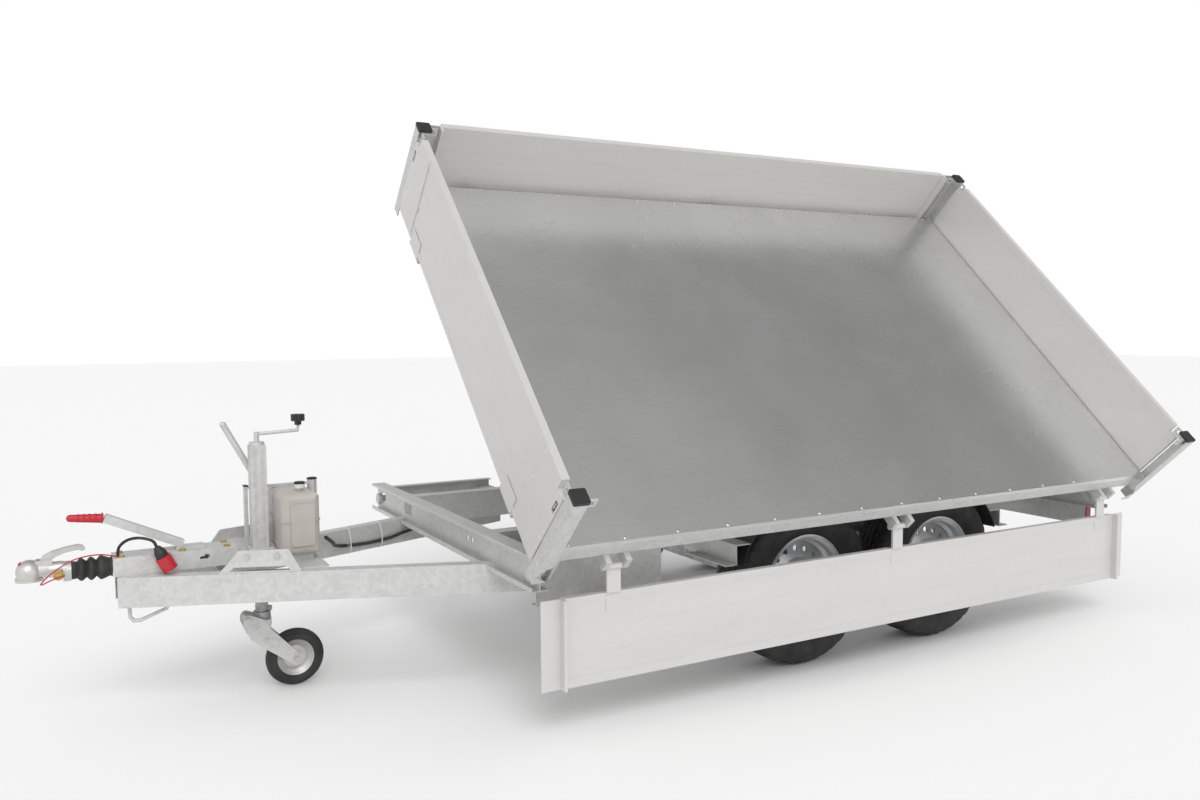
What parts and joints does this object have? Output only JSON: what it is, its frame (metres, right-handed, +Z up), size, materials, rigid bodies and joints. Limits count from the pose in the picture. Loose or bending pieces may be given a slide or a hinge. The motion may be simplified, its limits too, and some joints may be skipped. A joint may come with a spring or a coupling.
{
  "type": "dump trailer",
  "caption": "Tandem-axle tipping trailer with a V drawbar, overrun coupling, jockey wheel, hand pump and a bed with folding side boards, tipped to one side.",
  "frame": {"origin": "centre of the tow ball in the coupling head", "axes": "-X is the travel direction, +X runs back along the trailer, +Y is its right side, +Z is up"},
  "size_m": [4.318, 2.0781, 2.0717],
  "materials": {
    "galvanised": "mottled galvanised sheet",
    "galvanised_dark": "dull galvanised",
    "aluminium_panel": "pale anodised",
    "cast_silver": "painted silver",
    "black_plastic": "grained",
    "black_rubber": "matt",
    "tyre_rubber": "matt",
    "red_plastic": "glossy",
    "lamp_red": "glossy",
    "tank_grey": "satin",
    "chrome_rod": "polished",
    "red_cord": "plastic coated"
  },
  "bodies": {
    "chassis": {"front_beam": "galvanised", "rear_beam": "galvanised", "spars": "galvanised", "side_members": "galvanised", "drawbar": "galvanised", "overrun_housing": "galvanised", "coupling_head": "cast_silver", "coupling_handle": "cast_silver", "bellows": "black_rubber", "handbrake_lever": "galvanised", "handbrake_grip": "red_plastic", "breakaway_cable": "red_cord", "electric_cable": "black_rubber", "plug": "black_plastic", "parking_socket": "red_plastic", "jockey_bridge": "galvanised", "jockey_post": "galvanised", "crank_knob": "black_plastic", "pump_box": "tank_grey", "pump_frame": "galvanised", "hydraulic_hose": "black_rubber", "axles": "galvanised_dark", "mudguards": "black_plastic", "mudguard_brackets": "galvanised", "light_bar": "galvanised", "tail_lamps": "lamp_red"},
    "jockey_leg": {"jockey_leg": "galvanised_dark"},
    "jockey_fork": {"jockey_fork": "galvanised"},
    "jockey_wheel": {"jockey_tyre": "black_rubber", "jockey_disc": "cast_silver"},
    "cylinder_barrel": {"cylinder_barrel": "galvanised_dark"},
    "cylinder_stage_1": {"cylinder_stage_1": "chrome_rod"},
    "cylinder_stage_2": {"cylinder_stage_2": "chrome_rod"},
    "cylinder_rod": {"cylinder_rod": "chrome_rod"},
    "bed": {"bed_rails": "galvanised", "bed_beams": "galvanised", "bed_cross_members": "galvanised", "bed_floor": "galvanised_dark", "corner_posts": "galvanised", "post_caps": "black_plastic"},
    "front_wall": {"front_wall": "aluminium_panel"},
    "right_board": {"right_board": "aluminium_panel"},
    "rear_wall": {"rear_wall": "aluminium_panel"},
    "left_board": {"left_board": "aluminium_panel"},
    "wheel_front_left": {"tyre_front_left": "tyre_rubber", "rim_front_left": "cast_silver"},
    "wheel_rear_left": {"tyre_rear_left": "tyre_rubber", "rim_rear_left": "cast_silver"},
    "wheel_front_right": {"tyre_front_right": "tyre_rubber", "rim_front_right": "cast_silver"},
    "wheel_rear_right": {"tyre_rear_right": "tyre_rubber", "rim_rear_right": "cast_silver"}
  },
  "joints": [
    {"name": "bed_tip", "type": "hinge", "parent": "chassis", "child": "bed", "pos_m": [2.805, -0.815, -0.006], "axis": [1, 0, 0], "range_deg": [-45, 0]},
    {"name": "left_board_hinge", "type": "hinge", "parent": "bed", "child": "left_board", "pos_m": [2.805, -0.93733, 0.01592], "axis": [1, 0, 0], "range_deg": [-135, 5]},
    {"name": "right_board_hinge", "type": "hinge", "parent": "bed", "child": "right_board", "pos_m": [2.805, 0.31566, 1.26891], "axis": [-1, 0, 0], "range_deg": [0, 180]},
    {"name": "rear_wall_hinge", "type": "hinge", "parent": "bed", "child": "rear_wall", "pos_m": [4.265, -0.31083, 0.64242], "axis": [0, 0.7071, 0.7071], "range_deg": [0, 180]},
    {"name": "front_wall_hinge", "type": "hinge", "parent": "bed", "child": "front_wall", "pos_m": [1.345, -0.31083, 0.64242], "axis": [0, -0.7071, -0.7071], "range_deg": [0, 90]},
    {"name": "cylinder_swing", "type": "hinge", "parent": "chassis", "child": "cylinder_barrel", "pos_m": [2.805, 0, -0.075], "axis": [1, 0, 0], "range_deg": [-24.73, 0]},
    {"name": "cylinder_slide_1", "type": "slide", "parent": "cylinder_barrel", "child": "cylinder_stage_1", "axis": [0, -0.4182, 0.9084], "range_m": [-0.2025, 0]},
    {"name": "cylinder_slide_2", "type": "slide", "parent": "cylinder_stage_1", "child": "cylinder_stage_2", "axis": [0, -0.4182, 0.9084], "range_m": [-0.2025, 0]},
    {"name": "cylinder_slide_3", "type": "slide", "parent": "cylinder_stage_2", "child": "cylinder_rod", "axis": [0, -0.4182, 0.9084], "range_m": [-0.2025, 0]},
    {"name": "jockey_slide", "type": "slide", "parent": "chassis", "child": "jockey_leg", "axis": [0, 0, 1], "range_m": [-0.05, 0.13]},
    {"name": "jockey_swivel", "type": "hinge", "parent": "jockey_leg", "child": "jockey_fork", "pos_m": [0.71, 0, -0.253], "axis": [0, 0, 1], "continuous": true},
    {"name": "jockey_wheel_spin", "type": "hinge", "parent": "jockey_fork", "child": "jockey_wheel", "pos_m": [0.82, 0, -0.412], "axis": [0, 1, 0], "continuous": true},
    {"name": "wheel_spin_front_left", "type": "hinge", "parent": "chassis", "child": "wheel_front_left", "pos_m": [2.549, -0.692, -0.201], "axis": [0, 1, 0], "continuous": true},
    {"name": "wheel_spin_rear_left", "type": "hinge", "parent": "chassis", "child": "wheel_rear_left", "pos_m": [3.245, -0.692, -0.201], "axis": [0, 1, 0], "continuous": true},
    {"name": "wheel_spin_front_right", "type": "hinge", "parent": "chassis", "child": "wheel_front_right", "pos_m": [2.549, 0.692, -0.201], "axis": [0, 1, 0], "continuous": true},
    {"name": "wheel_spin_rear_right", "type": "hinge", "parent": "chassis", "child": "wheel_rear_right", "pos_m": [3.245, 0.692, -0.201], "axis": [0, 1, 0], "continuous": true}
  ],
  "couplings": [
    {"joint": "cylinder_swing", "follows": "bed_tip", "ratio": 0.54935},
    {"joint": "cylinder_slide_1", "follows": "bed_tip", "m_per_rad": 0.25783},
    {"joint": "cylinder_slide_2", "follows": "bed_tip", "m_per_rad": 0.25783},
    {"joint": "cylinder_slide_3", "follows": "bed_tip", "m_per_rad": 0.25783}
  ]
}
